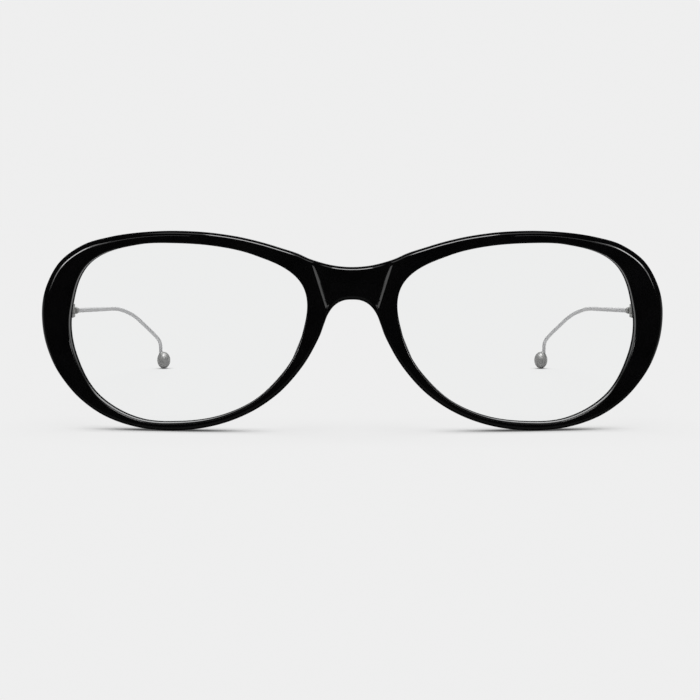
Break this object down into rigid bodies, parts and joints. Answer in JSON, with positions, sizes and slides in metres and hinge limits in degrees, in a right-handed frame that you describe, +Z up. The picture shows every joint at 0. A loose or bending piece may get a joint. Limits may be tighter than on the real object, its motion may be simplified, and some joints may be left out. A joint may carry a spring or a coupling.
{
  "type": "reading glasses",
  "caption": "Full-rim reading glasses: a black gloss front with a keyhole bridge, clear oval lenses and slim wire temples that fold on hinges and end in beads.",
  "frame": {"origin": "on the surface that the glasses stand on, under the middle of the whole object's width and depth", "axes": "+X to the wearer's left, the front faces -Y and the open temples run towards +Y, +Z up"},
  "size_m": [0.1422, 0.1454, 0.0453],
  "materials": {
    "acetate": "polished black acetate",
    "lens": "clear polished resin with a thin anti-reflection coat",
    "pad": "polished black acetate",
    "hinge": "satin nickel silver",
    "screw": "bright steel",
    "wire": "polished steel wire",
    "tip": "polished metal bead"
  },
  "bodies": {
    "front": {"front_frame": "acetate", "lens_left": "lens", "lens_right": "lens", "nose_pad_left": "pad", "nose_pad_right": "pad", "hinge_plate_left": "hinge", "hinge_plate_right": "hinge", "plate_screw_upper_left": "screw", "plate_screw_lower_left": "screw", "plate_screw_upper_right": "screw", "plate_screw_lower_right": "screw", "hinge_screw_left": "screw", "hinge_screw_right": "screw"},
    "temple_left": {"temple_hinge_left": "hinge", "temple_wire_left": "wire", "temple_tip_left": "tip"},
    "temple_right": {"temple_hinge_right": "hinge", "temple_wire_right": "wire", "temple_tip_right": "tip"}
  },
  "joints": [
    {"name": "temple_left_fold", "type": "hinge", "parent": "front", "child": "temple_left", "pos_m": [0.0659, -0.0597, 0.02675], "axis": [0, 0, 1], "range_deg": [0, 89]},
    {"name": "temple_right_fold", "type": "hinge", "parent": "front", "child": "temple_right", "pos_m": [-0.0659, -0.0597, 0.02675], "axis": [0, 0, -1], "range_deg": [0, 83]}
  ]
}
